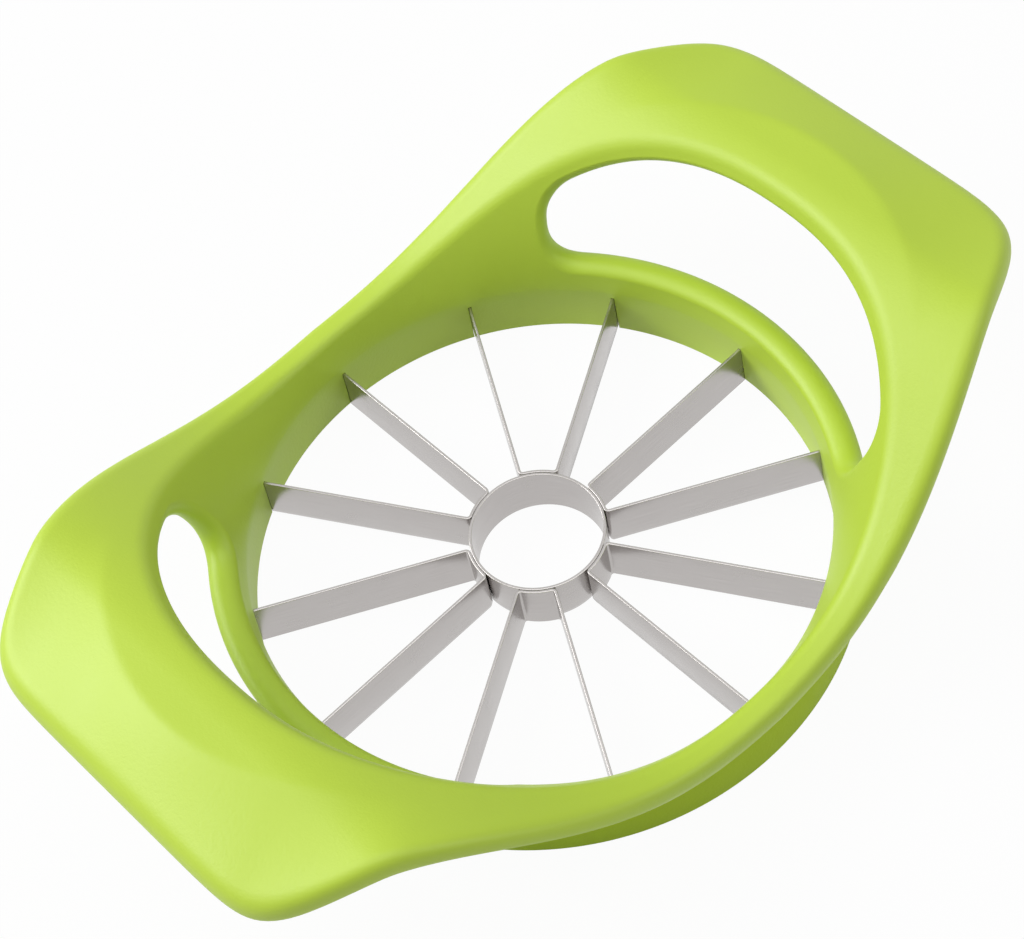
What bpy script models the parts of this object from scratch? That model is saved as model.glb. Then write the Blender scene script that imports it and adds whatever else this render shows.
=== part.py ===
"""Apple slicer and wedger: a moulded two-handled frame, a clamp ring, a core ring and six bent blade strips.

The frame is +Z up with its origin at the centre of the resting face, and +X runs along the two handles.
All sizes are in metres.
"""
import math

import bmesh
import bpy
import numpy as np

# Whole object
SLICER = "apple_slicer"

# Gap between pieces that touch, and the overrun of a cut
FIT_GAP = 0.0003
OVERRUN = 0.0010

# Blade strips: each makes two blades and hugs the core ring between them
STRIP_COUNT = 6
STRIP_THICKNESS = 0.0005
BLADE_DEPTH = 0.0095
BLADE_LIFT = 0.0002
GROUND_DEPTH = 0.0011
CUTTING_EDGE = 0.0002
CORE_BEND = 0.0010
TAIL_BEND = 0.0008
TAIL_LENGTH = 0.0080
TAIL_GAP = 0.0004

# Core ring
CORE_RADIUS = 0.0118
CORE_WALL = 0.0005

# Bore of the frame, through which the fruit passes
BORE_RADIUS = 0.0500
BORE_WALL = 0.0023
BORE_DRAFT = 0.0004
BORE_LEAD_IN = 0.0005
BORE_OVER_BLADES = 0.0012

# Clamp ring under the frame
CLAMP_WALL = 0.0019
CLAMP_FOOT = 0.0014
CLAMP_EDGE = 0.0005
CHANNEL_HEADROOM = 0.0025

# Plan of the frame: how far it reaches past the bore at the waist and at the grips
WAIST_LEAN = 0.0017
WAIST_RAIL_WIDTH = 0.0055
GRIP_LEAN = 0.0122
GRIP_WIDTH = 0.0232
FLANK_STANDOFF = 0.0175
FLANK_ANGLE = math.radians(64.0)
FLANK_SOFTNESS = 10.5
CORNER_SOFTNESS = 21.0
RIM_SQUARENESS = 2.42

# Heights of the frame's top face
WAIST_RAIL_DEPTH = 0.0059
GRIP_RISE_LENGTH = 0.0676
GRIP_STEEPNESS = 0.377219
GRIP_RISE_POWER = 1.4
END_FALL = 0.0052
END_FALL_FULL_ANGLE = math.radians(18.0)
END_FALL_FREE_ANGLE = math.radians(34.0)
CREASE_SHARE = 0.52

# Section of the rails and grips
SKIN = 0.0024
LIP_WIDTH = 0.0024
EDGE_DEPTH = 0.0044
INNER_FILLET = 0.0021
OUTER_FILLET = 0.0020
SIDE_DRAFT = 0.00015
SIDE_EDGE = 0.0004
SHOULDER_LEAST_SHARE = 0.1
INNER_FILLET_SHARE = 0.28
OUTER_FILLET_SHARE = 0.37
LIP_SHARE = 0.30
POCKET_NARROWEST = 0.0055
POCKET_FULL_WIDTH = 0.0110
WALL_LEAN_POWER = 1.5

# Ribs across the pocket under each grip
RIB_THICKNESS = 0.0016
RIB_DRAFT = 0.0003
RIB_ANGLES = tuple(math.radians(a) for a in (13.0, 26.0, 37.0))

# Finger opening between the bridge band and the grip
OPENING_HALF_ANGLE = math.radians(42.3)
OPENING_END_LIFT = 0.0096
OPENING_FLOOR_SQUARENESS = 8.4
OPENING_CEILING_SQUARENESS = 5.4
OPENING_EDGE_RADIUS = 0.0020
BAND_EDGE = 0.0022
BAND_CROWN = 0.0019
BAND_OVERHANG = 0.0002
BAND_BULGE_SHARE = 0.7
RIM_CROWN = 0.0006

# Facets
BAY_STEPS = (3, 5, 3, 2)
RAIL_STEPS = 11
FILLET_STEPS = 3
EDGE_STEPS = 6
STRIP_BEND_STEPS = 4
CORE_WRAP_STEPS = 8
RING_STEPS = 84
CORE_STEPS = 60
SHARP_ANGLE = math.radians(35.0)
MERGE = 0.00001

# Sizes that follow from those above
PAIR_HALF_ANGLE = math.pi / (2 * STRIP_COUNT)
FIRST_PAIR_ANGLE = 3 * PAIR_HALF_ANGLE
BLADE_TOP = BLADE_LIFT + BLADE_DEPTH
BORE_EDGE_HEIGHT = BLADE_TOP + BORE_OVER_BLADES
CHANNEL_RADIUS = BORE_RADIUS + BORE_WALL
CHANNEL_CEILING = BLADE_TOP + CHANNEL_HEADROOM
CLAMP_INNER_RADIUS = CHANNEL_RADIUS + 2.0 * TAIL_GAP + STRIP_THICKNESS
SKIRT_RADIUS = CLAMP_INNER_RADIUS + CLAMP_WALL
CLAMP_HEIGHT = CHANNEL_CEILING - FIT_GAP
RIM_HALF_WIDTH = BORE_RADIUS + WAIST_LEAN
RIM_HALF_LENGTH = BORE_RADIUS + GRIP_LEAN
HALF_WIDTH = RIM_HALF_WIDTH + WAIST_RAIL_WIDTH
HALF_LENGTH = RIM_HALF_LENGTH + GRIP_WIDTH
FLANK_DISTANCE = BORE_RADIUS + FLANK_STANDOFF
WAIST_HEIGHT = CHANNEL_CEILING + WAIST_RAIL_DEPTH
GRIP_LIFT = GRIP_STEEPNESS * GRIP_RISE_LENGTH
GRIP_HEIGHT = WAIST_HEIGHT + GRIP_LIFT
BAND_EDGE_HEIGHT = CHANNEL_CEILING + BAND_EDGE
OPENING_END_HEIGHT = BAND_EDGE_HEIGHT + OPENING_END_LIFT

# Finishes
LIME = (0.49, 0.74, 0.055, 1.0)
LIME_ROUGHNESS = 0.42
STEEL = (0.55, 0.54, 0.53, 1.0)
STEEL_ROUGHNESS = 0.34


def clear_scene():
    """Remove the objects that a new file starts with."""
    for obj in list(bpy.data.objects):
        bpy.data.objects.remove(obj, do_unlink=True)


def new_collection(name):
    """Return a new collection linked to the scene."""
    group = bpy.data.collections.new(name)
    bpy.context.scene.collection.children.link(group)
    return group


def new_material(name, colour, roughness, metallic):
    """Return a Principled material of one colour."""
    material = bpy.data.materials.new(name)
    material.use_nodes = True
    shader = material.node_tree.nodes["Principled BSDF"]
    shader.inputs["Base Color"].default_value = colour
    shader.inputs["Roughness"].default_value = roughness
    shader.inputs["Metallic"].default_value = metallic
    return material


def add_object(name, mesh, group, material=None):
    """Link a mesh as an object of a collection and give it a material."""
    obj = bpy.data.objects.new(name, mesh)
    group.objects.link(obj)
    if material is not None:
        mesh.materials.append(material)
    return obj


def shade_round(mesh):
    """Shade a mesh smooth apart from its sharp edges."""
    mesh.shade_smooth()
    mesh.set_sharp_from_angle(angle=SHARP_ANGLE)


def as_cutter(obj):
    """Hide a cutter from renders and draw it as a wire."""
    obj.hide_render = True
    obj.display_type = "WIRE"
    return obj


def cut(obj, cutter):
    """Subtract a cutter from an object with a live Boolean."""
    modifier = obj.modifiers.new("cut_" + cutter.name, "BOOLEAN")
    modifier.operation = "DIFFERENCE"
    modifier.solver = "EXACT"
    modifier.object = cutter


def mix(start, end, share):
    """Go from start to end by a share."""
    return start + (end - start) * share


def ease(share):
    """Smooth step from 0 to 1."""
    share = np.clip(share, 0.0, 1.0)
    return share * share * (3.0 - 2.0 * share)


def rim_radius(angle):
    """Distance from the centre to the inner edge of rails and grips, a soft ellipse."""
    along = np.abs(np.cos(angle)) / RIM_HALF_LENGTH
    across = np.abs(np.sin(angle)) / RIM_HALF_WIDTH
    return (along ** RIM_SQUARENESS + across ** RIM_SQUARENESS) ** (-1.0 / RIM_SQUARENESS)


def outline_radius(angle):
    """Distance from the centre to the outline, a hexagon whose corners are softened."""
    along = np.abs(np.cos(angle))
    across = np.abs(np.sin(angle))
    flank = (along * math.cos(FLANK_ANGLE) + across * math.sin(FLANK_ANGLE)) / FLANK_DISTANCE
    side = (flank ** FLANK_SOFTNESS + (across / HALF_WIDTH) ** FLANK_SOFTNESS) ** (1.0 / FLANK_SOFTNESS)
    end = along / HALF_LENGTH
    return (end ** CORNER_SOFTNESS + side ** CORNER_SOFTNESS) ** (-1.0 / CORNER_SOFTNESS)


def crease_radius(angle):
    """Distance from the centre to the soft crease between rim and outline."""
    return mix(rim_radius(angle), outline_radius(angle), CREASE_SHARE)


def top_height(radius, angle):
    """Height of the top face: it sweeps up from the waist to the grips and falls past the crease."""
    along = np.abs(radius * np.cos(angle))
    rise = ease(np.clip(along / GRIP_RISE_LENGTH, 0.0, 1.0) ** GRIP_RISE_POWER)
    crease = crease_radius(angle)
    past = np.clip((radius - crease) / (outline_radius(angle) - crease), 0.0, 1.0)
    fade = ease((END_FALL_FREE_ANGLE - angle) / (END_FALL_FREE_ANGLE - END_FALL_FULL_ANGLE))
    return mix(WAIST_HEIGHT, GRIP_HEIGHT, rise) - END_FALL * past * fade


def flange_width(angle):
    """Width of the rail or grip between its inner edge and the outline."""
    return outline_radius(angle) - rim_radius(angle)


def inner_fillet(angle):
    """Radius of the rounded inner edge, less where the rail is narrow."""
    return np.minimum(INNER_FILLET, INNER_FILLET_SHARE * flange_width(angle))


def outer_fillet(angle):
    """Radius of the rounded outer edge, less where the rail is narrow."""
    return np.minimum(OUTER_FILLET, OUTER_FILLET_SHARE * flange_width(angle))


def lip_width(angle):
    """Width of the lips that edge the pocket, less where the rail is narrow."""
    return np.minimum(LIP_WIDTH, LIP_SHARE * flange_width(angle))


def wall_inner_radius(height, angle):
    """Inner face of the wall that leans out from the bore to the inner edge of rails and grips."""
    rim = rim_radius(angle)
    top = top_height(rim, angle) - inner_fillet(angle)
    share = np.clip((height - BORE_EDGE_HEIGHT) / (top - BORE_EDGE_HEIGHT), 0.0, 1.0)
    return mix(BORE_RADIUS, rim, share ** WALL_LEAN_POWER)


def wall_outer_radius(height, angle):
    """Outer face of the same wall, from the skirt to the inner lip of the pocket."""
    rim = rim_radius(angle)
    top = top_height(rim, angle) - SKIN
    share = np.clip((height - CHANNEL_CEILING) / (top - CHANNEL_CEILING), 0.0, 1.0)
    return mix(SKIRT_RADIUS, rim + lip_width(angle), share)


def point_row(radius, angle, height):
    """Points of one line of the loft, from polar sizes."""
    radius, angle, height = np.broadcast_arrays(radius, angle, height)
    row = np.stack([radius * np.cos(angle), radius * np.sin(angle), height], axis=1)
    row[np.isclose(angle, math.pi / 2.0), 0] = 0.0
    return row


def bay_angles():
    """Angles of the grip's sections: even steps with a close pair of sections on each side of a rib.

    Returns the angles and, for each, 0 on a rib and 1 in the open pocket.
    """
    half_rib = RIB_THICKNESS / 2.0 / crease_radius(0.0)
    slope = RIB_DRAFT / crease_radius(0.0)
    angles = [0.0, half_rib]
    open_share = [0.0, 0.0]
    start = half_rib + slope
    stops = list(RIB_ANGLES) + [None]
    for rib, steps in zip(stops, BAY_STEPS):
        last = rib is None
        end = OPENING_HALF_ANGLE if last else rib - half_rib - slope
        for step in range(steps + 1):
            angles.append(mix(start, end, step / steps))
            open_share.append(1.0)
        if not last:
            angles += [rib - half_rib, rib + half_rib]
            open_share += [0.0, 0.0]
            start = rib + half_rib + slope
    return np.array(angles), np.array(open_share)


def opening_share(turn, squareness):
    """How far the opening's floor or ceiling has parted from its closing line, 0 along the rails."""
    parted = (1.0 - turn ** squareness) ** (1.0 / squareness)
    parted[-1] = 0.0
    return np.concatenate([parted, np.zeros(RAIL_STEPS)])


def frame_rows():
    """Work out the lines of the frame's loft over one quarter of the plan.

    Returns lists of rows for the lower skin, the band's floor, the outer wall, the upper skin and the
    ceiling of the finger opening, which join edge to edge.
    """
    bay, bay_open = bay_angles()
    window = len(bay) - 1
    turn = np.sin(np.linspace(0.0, math.pi / 2.0, window + 1))
    edge_angle = OPENING_EDGE_RADIUS / rim_radius(OPENING_HALF_ANGLE)
    opening_end = OPENING_HALF_ANGLE + edge_angle
    rail_near = np.linspace(opening_end, math.pi / 2.0, RAIL_STEPS + 1)[1:]
    rail_far = np.linspace(bay[-1], math.pi / 2.0, RAIL_STEPS + 1)[1:]
    near = np.concatenate([opening_end * turn, rail_near])
    far = np.concatenate([bay, rail_far])
    pocket = np.concatenate([bay_open, np.ones(RAIL_STEPS)])
    low_apart = opening_share(turn, OPENING_FLOOR_SQUARENESS)
    high_apart = opening_share(turn, OPENING_CEILING_SQUARENESS)

    # Closing line of the opening and its continuation down the rails
    rim_top = top_height(rim_radius(near), near)
    wall_top = rim_top - inner_fillet(near)
    rail_share = ease((near - opening_end) / (math.pi / 2.0 - opening_end))
    waist_middle = mix(CHANNEL_CEILING, WAIST_HEIGHT - INNER_FILLET, 0.5)
    middle = mix(OPENING_END_HEIGHT, waist_middle, rail_share)
    floor_height = mix(middle, BAND_EDGE_HEIGHT, low_apart)
    rim_bottom = rim_top - EDGE_DEPTH + RIM_CROWN
    ceiling_height = mix(middle, rim_bottom, high_apart)

    # Lower skin, from the outside of the bore wall round its foot and up its inner face
    lower = [point_row(CHANNEL_RADIUS, near, 0.0),
             point_row(BORE_RADIUS + BORE_DRAFT + BORE_LEAD_IN, near, 0.0),
             point_row(BORE_RADIUS + BORE_DRAFT, near, BORE_LEAD_IN),
             point_row(BORE_RADIUS, near, BORE_EDGE_HEIGHT)]
    for share in (0.5, 1.0):
        height = mix(BORE_EDGE_HEIGHT, floor_height, share)
        lower.append(point_row(wall_inner_radius(height, near), near, height))

    # Outer wall, from the floor's outer edge down to the channel that the clamp ring closes
    bulge = BAND_OVERHANG * low_apart
    floor_out = wall_outer_radius(floor_height, near) + bulge
    half_height = mix(CHANNEL_CEILING, floor_height, 0.5)
    outer = [(floor_out, floor_height),
             (wall_outer_radius(half_height, near) + bulge * BAND_BULGE_SHARE, half_height),
             (SKIRT_RADIUS + 0.0 * near, CHANNEL_CEILING + 0.0 * near)]

    # Upper skin, from the opening's inner edge over the top, down the side and through the pocket
    near_fillet = inner_fillet(near)
    upper = []
    for share in (0.0, 0.5):
        height = mix(ceiling_height, wall_top, share)
        upper.append(point_row(wall_inner_radius(height, near), near, height))
    rim = rim_radius(near)
    top_in = top_height(rim + near_fillet, near)
    for step in range(FILLET_STEPS + 1):
        swing = step / FILLET_STEPS * math.pi / 2.0
        height = mix(wall_top, top_in, math.sin(swing))
        upper.append(point_row(rim + near_fillet * (1.0 - math.cos(swing)), near, height))
    blend_angle = mix(near, far, 0.5)
    half_way = mix(rim_radius(blend_angle) + inner_fillet(blend_angle), crease_radius(blend_angle), 0.5)
    upper.append(point_row(half_way, blend_angle, top_height(half_way, blend_angle)))
    crease = crease_radius(far)
    upper.append(point_row(crease, far, top_height(crease, far)))
    edge = outline_radius(far)
    far_fillet = outer_fillet(far)
    shoulder = np.maximum(edge - far_fillet, mix(crease, edge, SHOULDER_LEAST_SHARE))
    half_way = mix(crease, shoulder, 0.5)
    upper.append(point_row(half_way, far, top_height(half_way, far)))
    shoulder_top = top_height(shoulder, far)
    side_top = top_height(edge, far) - far_fillet
    for step in range(FILLET_STEPS + 1):
        swing = step / FILLET_STEPS * math.pi / 2.0
        height = mix(side_top, shoulder_top, math.cos(swing))
        upper.append(point_row(mix(shoulder, edge, math.sin(swing)), far, height))
    side_bottom = top_height(edge, far) - EDGE_DEPTH
    foot = edge - SIDE_DRAFT - SIDE_EDGE
    upper.append(point_row(edge - SIDE_DRAFT, far, side_bottom + SIDE_EDGE))
    upper.append(point_row(foot, far, side_bottom))

    # Pocket rows, which close up to a plain edge where the rail is narrow
    width_share = ease((flange_width(far) - POCKET_NARROWEST) / (POCKET_FULL_WIDTH - POCKET_NARROWEST))
    lip = lip_width(far)
    lip_in = edge - lip
    roof_out = top_height(lip_in, far) - SKIN
    roof_out = mix(side_bottom, roof_out, pocket)
    roof_mid = mix(mix(side_bottom, ceiling_guess(far), 0.5), top_height(crease, far) - SKIN, pocket)
    inner_lip = rim_radius(far) + lip
    roof_in = mix(ceiling_guess(far), top_height(inner_lip, far) - SKIN, pocket)
    free = [(lip_in, side_bottom), (lip_in - SIDE_DRAFT, roof_out), (crease, roof_mid), (inner_lip, roof_in)]
    chain = []
    links = len(free) + 3
    for index, (radius, height) in enumerate(free):
        share = (index + 1.0) / links
        plain_radius = mix(foot, SKIRT_RADIUS, share)
        plain_height = mix(side_bottom, CHANNEL_CEILING, share)
        chain.append(point_row(mix(plain_radius, radius, width_share), far,
                               mix(plain_height, height, width_share)))
    upper += chain

    # The outer wall rows close up in the same way
    near_edge = outline_radius(near)
    near_bottom = top_height(near_edge, near) - EDGE_DEPTH
    near_foot = near_edge - SIDE_DRAFT - SIDE_EDGE
    near_share = ease((flange_width(near) - POCKET_NARROWEST) / (POCKET_FULL_WIDTH - POCKET_NARROWEST))
    outer_rows = []
    for index, (radius, height) in enumerate(outer):
        share = (len(free) + 1.0 + index) / links
        plain_radius = mix(near_foot, SKIRT_RADIUS, share)
        plain_height = mix(near_bottom, CHANNEL_CEILING, share)
        outer_rows.append(point_row(mix(plain_radius, radius, near_share), near,
                                    mix(plain_height, height, near_share)))
    outer_rows.append(point_row(CHANNEL_RADIUS, near, CHANNEL_CEILING))
    outer_rows.append(lower[0])

    # Outer edge of the ceiling, which meets the floor's edge where the opening ends
    ceiling_out = point_row(wall_outer_radius(ceiling_height, near), near, ceiling_height)
    ceiling_out[window:] = outer_rows[0][window:]
    upper.append(ceiling_out)

    # Floor and ceiling of the opening, arched across the wall, with ends rounded like the edges
    floor = [lower[-1][:window + 1]]
    ceiling = [upper[0][:window + 1]]
    for swing in np.linspace(0.0, math.pi, EDGE_STEPS + 1)[1:-1]:
        across = (1.0 - math.cos(swing)) / 2.0
        crown = math.sin(swing)
        angle = (OPENING_HALF_ANGLE + edge_angle * (1.0 - crown)) * turn
        low_in, low_out = lower[-1][:window + 1], outer_rows[0][:window + 1]
        high_in, high_out = upper[0][:window + 1], ceiling_out[:window + 1]
        band_rise = BAND_CROWN * crown * low_apart[:window + 1]
        rim_drop = RIM_CROWN * crown * high_apart[:window + 1]
        floor.append(arched(low_in, low_out, across, angle, band_rise))
        ceiling.append(arched(high_in, high_out, across, angle, -rim_drop))
    floor.append(outer_rows[0][:window + 1])
    ceiling.append(ceiling_out[:window + 1])
    return [lower, floor, outer_rows, upper, ceiling[::-1]]


def ceiling_guess(angle):
    """Height of the lip's foot beside the finger opening."""
    rim = rim_radius(angle)
    return top_height(rim, angle) - EDGE_DEPTH + RIM_CROWN


def arched(start, end, share, angle, lift):
    """Row between two edges of the wall, turned to its own angles and lifted."""
    radius = mix(np.hypot(start[:, 0], start[:, 1]), np.hypot(end[:, 0], end[:, 1]), share)
    return point_row(radius, angle, mix(start[:, 2], end[:, 2], share) + lift)


def loft_mesh(name, skins):
    """Make a mesh of quads from skins, each a list of rows of points, and weld where skins meet."""
    points = []
    faces = []
    for rows in skins:
        base = len(points)
        count = len(rows[0])
        for row in rows:
            points.extend(map(tuple, row))
        for line in range(len(rows) - 1):
            for step in range(count - 1):
                corner = base + line * count + step
                faces.append((corner, corner + 1, corner + count + 1, corner + count))
    mesh = bpy.data.meshes.new(name)
    mesh.from_pydata(points, [], faces)
    build = bmesh.new()
    build.from_mesh(mesh)
    bmesh.ops.remove_doubles(build, verts=build.verts, dist=MERGE)
    build.to_mesh(mesh)
    build.free()
    return mesh


def make_frame(group, cutters, material):
    """Moulded frame: one lofted quarter, mirrored twice, with the blade slots cut in its bore wall."""
    mesh = loft_mesh("handle_frame", frame_rows())
    frame = add_object("handle_frame", mesh, group, material)
    mirror = frame.modifiers.new("quarters", "MIRROR")
    mirror.use_axis = (True, True, False)
    mirror.merge_threshold = MERGE
    mirror.use_clip = True
    shade_round(mesh)
    cut(frame, make_slot_cutter(cutters))
    return frame


def make_slot_cutter(cutters):
    """Twelve upright slots in the bore wall, open at the bottom, a fit gap wider than the strips."""
    build = bmesh.new()
    start = BORE_RADIUS - OVERRUN
    end = CHANNEL_RADIUS + OVERRUN
    top = BLADE_TOP + FIT_GAP
    width = STRIP_THICKNESS + 2.0 * FIT_GAP
    for index in range(2 * STRIP_COUNT):
        angle = index * math.pi / STRIP_COUNT
        box = bmesh.ops.create_cube(build, size=1.0)["verts"]
        bmesh.ops.scale(build, vec=(end - start, width, top + OVERRUN), verts=box)
        bmesh.ops.translate(build, vec=((start + end) / 2.0, 0.0, (top - OVERRUN) / 2.0), verts=box)
        turn = np.array([[math.cos(angle), -math.sin(angle)], [math.sin(angle), math.cos(angle)]])
        for vert in box:
            vert.co.x, vert.co.y = turn @ np.array(vert.co.xy)
    mesh = bpy.data.meshes.new("slot_cutter")
    build.to_mesh(mesh)
    build.free()
    return as_cutter(add_object("slot_cutter", mesh, cutters))


def turned(name, profile, steps, group, material=None):
    """Turn a closed profile of (radius, height) points round Z with a Screw modifier."""
    mesh = bpy.data.meshes.new(name)
    points = [(radius, 0.0, height) for radius, height in profile]
    edges = [(i, (i + 1) % len(points)) for i in range(len(points))]
    mesh.from_pydata(points, edges, [])
    obj = add_object(name, mesh, group, material)
    screw = obj.modifiers.new("turn", "SCREW")
    screw.angle = 2.0 * math.pi
    screw.steps = steps
    screw.render_steps = steps
    screw.use_merge_vertices = True
    screw.merge_threshold = MERGE
    screw.use_smooth_shade = True
    return obj


def make_clamp_ring(group, material):
    """Clamp ring: an upright wall whose inward foot closes the blade channel from below."""
    foot = CHANNEL_RADIUS + FIT_GAP
    profile = [(SKIRT_RADIUS - CLAMP_EDGE / 2.0, CLAMP_HEIGHT),
               (SKIRT_RADIUS, CLAMP_HEIGHT - CLAMP_EDGE / 2.0),
               (SKIRT_RADIUS, CLAMP_EDGE),
               (SKIRT_RADIUS - CLAMP_EDGE, 0.0),
               (foot, 0.0),
               (foot, CLAMP_FOOT),
               (CLAMP_INNER_RADIUS, CLAMP_FOOT),
               (CLAMP_INNER_RADIUS, CLAMP_HEIGHT)]
    return turned("blade_clamp_ring", profile, RING_STEPS, group, material)


def make_core_ring(group, material):
    """Core ring: a thin tube with its lower edge ground from outside to a cutting edge."""
    profile = [(CORE_RADIUS, BLADE_TOP),
               (CORE_RADIUS, BLADE_LIFT + GROUND_DEPTH),
               (CORE_RADIUS - CORE_WALL + CUTTING_EDGE, BLADE_LIFT),
               (CORE_RADIUS - CORE_WALL, BLADE_LIFT),
               (CORE_RADIUS - CORE_WALL, BLADE_TOP)]
    return turned("core_ring", profile, CORE_STEPS, group, material)


def bend_points(centre, radius, start, end, steps):
    """Points and outward normals along an arc from one angle to another."""
    angles = np.linspace(start, end, steps + 1)
    normals = np.stack([np.cos(angles), np.sin(angles)], axis=1)
    return np.asarray(centre) + radius * normals, normals


def half_strip_path():
    """Centre line of half a strip, from the middle of its wrap round the core to the end of its tail.

    Returns the points and the unit normals that point to the strip's outer side. The half lies on the +Y
    side of the pair's middle line, which is +X.
    """
    wrap = CORE_RADIUS + FIT_GAP + STRIP_THICKNESS / 2.0
    arm = PAIR_HALF_ANGLE
    along = np.array([math.cos(arm), math.sin(arm)])
    side = np.array([-math.sin(arm), math.cos(arm)])

    # The bend at the core lies between the arm and the wrap, and is tangent to both
    reach = math.sqrt((wrap + CORE_BEND) ** 2 - CORE_BEND ** 2)
    core_centre = along * reach - side * CORE_BEND
    touch = math.atan2(core_centre[1], core_centre[0])
    wrapped, wrapped_out = bend_points((0.0, 0.0), wrap, 0.0, touch, CORE_WRAP_STEPS // 2)
    back = touch - math.pi
    bent, bent_in = bend_points(core_centre, CORE_BEND, back, arm - 1.5 * math.pi, STRIP_BEND_STEPS)

    # The tail follows the channel outside the bore wall
    tail_radius = CHANNEL_RADIUS + TAIL_GAP + STRIP_THICKNESS / 2.0
    tail_reach = math.sqrt((tail_radius - TAIL_BEND) ** 2 - TAIL_BEND ** 2)
    tail_centre = along * tail_reach + side * TAIL_BEND
    tail_start = math.atan2(tail_centre[1], tail_centre[0])
    turned_pts, turned_out = bend_points(tail_centre, TAIL_BEND, arm - math.pi / 2.0, tail_start,
                                         STRIP_BEND_STEPS)
    tail_end = tail_start + TAIL_LENGTH / tail_radius
    tail, tail_out = bend_points((0.0, 0.0), tail_radius, tail_start, tail_end, STRIP_BEND_STEPS)

    points = np.concatenate([wrapped, bent[1:], turned_pts, tail[1:]])
    normals = np.concatenate([wrapped_out, -bent_in[1:], turned_out, tail_out[1:]])
    return points, normals


def strip_mesh(name):
    """Solid strip: both sides of its centre line, lofted from the square top to the lower edge.

    The edge is ground on the side that faces away from the pair, so the other side runs straight down.
    """
    points, normals = half_strip_path()
    mirrored = np.array([1.0, -1.0])
    points = np.concatenate([points[:0:-1] * mirrored, points])
    normals = np.concatenate([normals[:0:-1] * mirrored, normals])
    plain_side = STRIP_THICKNESS / 2.0
    levels = ((BLADE_TOP, -plain_side),
              (BLADE_LIFT + GROUND_DEPTH, -plain_side),
              (BLADE_LIFT, plain_side - CUTTING_EDGE))
    count = len(points)
    verts = []
    for height, ground_side in levels:
        loop = np.concatenate([points + normals * plain_side, (points + normals * ground_side)[::-1]])
        verts.extend((x, y, height) for x, y in loop)
    ring = 2 * count
    faces = []
    for level in range(len(levels) - 1):
        for i in range(ring):
            j = (i + 1) % ring
            here, below = level * ring, (level + 1) * ring
            faces.append((here + i, below + i, below + j, here + j))
    bottom = (len(levels) - 1) * ring
    for i in range(count - 1):
        faces.append((i, i + 1, ring - 2 - i, ring - 1 - i))
        faces.append((bottom + i, bottom + ring - 1 - i, bottom + ring - 2 - i, bottom + i + 1))
    mesh = bpy.data.meshes.new(name)
    mesh.from_pydata(verts, [], faces)
    build = bmesh.new()
    build.from_mesh(mesh)
    bmesh.ops.recalc_face_normals(build, faces=build.faces)
    build.to_mesh(mesh)
    build.free()
    shade_round(mesh)
    return mesh


def make_tail_cutter(cutters):
    """Ring that notches the tails so that they stand on the foot of the clamp ring."""
    start = CHANNEL_RADIUS
    top = CLAMP_FOOT + FIT_GAP
    profile = [(SKIRT_RADIUS, top), (SKIRT_RADIUS, -OVERRUN), (start, -OVERRUN), (start, top)]
    return as_cutter(turned("tail_cutter", profile, RING_STEPS, cutters))


def make_blade_strips(group, cutters, material):
    """Six bent strips, each of which makes two neighbouring blades."""
    tail_cutter = make_tail_cutter(cutters)
    for index in range(STRIP_COUNT):
        name = f"blade_strip_{index + 1}"
        strip = add_object(name, strip_mesh(name), group, material)
        cut(strip, tail_cutter)
        strip.rotation_euler.z = FIRST_PAIR_ANGLE + index * 2.0 * math.pi / STRIP_COUNT


def main():
    """Build the slicer."""
    clear_scene()
    parts = new_collection(SLICER)
    cutters = new_collection("cutters")
    plastic = new_material("lime_plastic", LIME, LIME_ROUGHNESS, 0.0)
    steel = new_material("brushed_steel", STEEL, STEEL_ROUGHNESS, 1.0)
    make_frame(parts, cutters, plastic)
    make_clamp_ring(parts, plastic)
    make_core_ring(parts, steel)
    make_blade_strips(parts, cutters, steel)


main()
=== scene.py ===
"""Looks of an apple slicer and wedger: a lime frame with two grips, clamp ring, core ring and six strips.

Every surface is a function of two parameters, worked out with numpy on a grid, and stands for one node of
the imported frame. Lengths are in metres, +Z is up, and +X runs along the two grips.
"""
import logging
import math
from dataclasses import dataclass
from enum import Enum

import bmesh
import bpy
import numpy as np
from bpy.types import ID, Material, Mesh, Node, NodeSocket, NodeTree, Object
from mathutils import Matrix, Vector


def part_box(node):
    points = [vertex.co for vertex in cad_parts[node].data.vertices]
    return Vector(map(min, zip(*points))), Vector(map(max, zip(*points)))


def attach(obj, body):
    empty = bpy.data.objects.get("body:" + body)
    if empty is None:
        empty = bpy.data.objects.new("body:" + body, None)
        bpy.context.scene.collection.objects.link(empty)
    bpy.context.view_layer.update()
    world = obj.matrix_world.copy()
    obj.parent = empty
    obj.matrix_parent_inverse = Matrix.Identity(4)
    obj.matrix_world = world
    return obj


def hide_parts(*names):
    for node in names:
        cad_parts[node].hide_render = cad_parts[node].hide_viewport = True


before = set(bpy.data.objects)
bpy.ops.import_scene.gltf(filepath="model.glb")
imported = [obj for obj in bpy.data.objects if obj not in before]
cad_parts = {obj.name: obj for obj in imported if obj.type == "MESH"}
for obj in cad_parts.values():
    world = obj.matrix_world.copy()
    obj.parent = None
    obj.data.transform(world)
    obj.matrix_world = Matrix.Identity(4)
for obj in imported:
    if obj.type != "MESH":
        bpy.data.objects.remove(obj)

MM = 0.001
QUARTER_TURN = math.pi / 2.0
BODY = "root"
FINE_WELD = 0.0001 * MM
TOUCH = 1e-9

# Sockets of the Mix node for colours
MIX_A, MIX_B, MIX_RESULT = 6, 7, 2

log = logging.getLogger("apple_slicer")


class Slot(Enum):
    """Material slots of the record."""

    LIME_PLASTIC = "lime_plastic"
    BRUSHED_STEEL = "brushed_steel"


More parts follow.
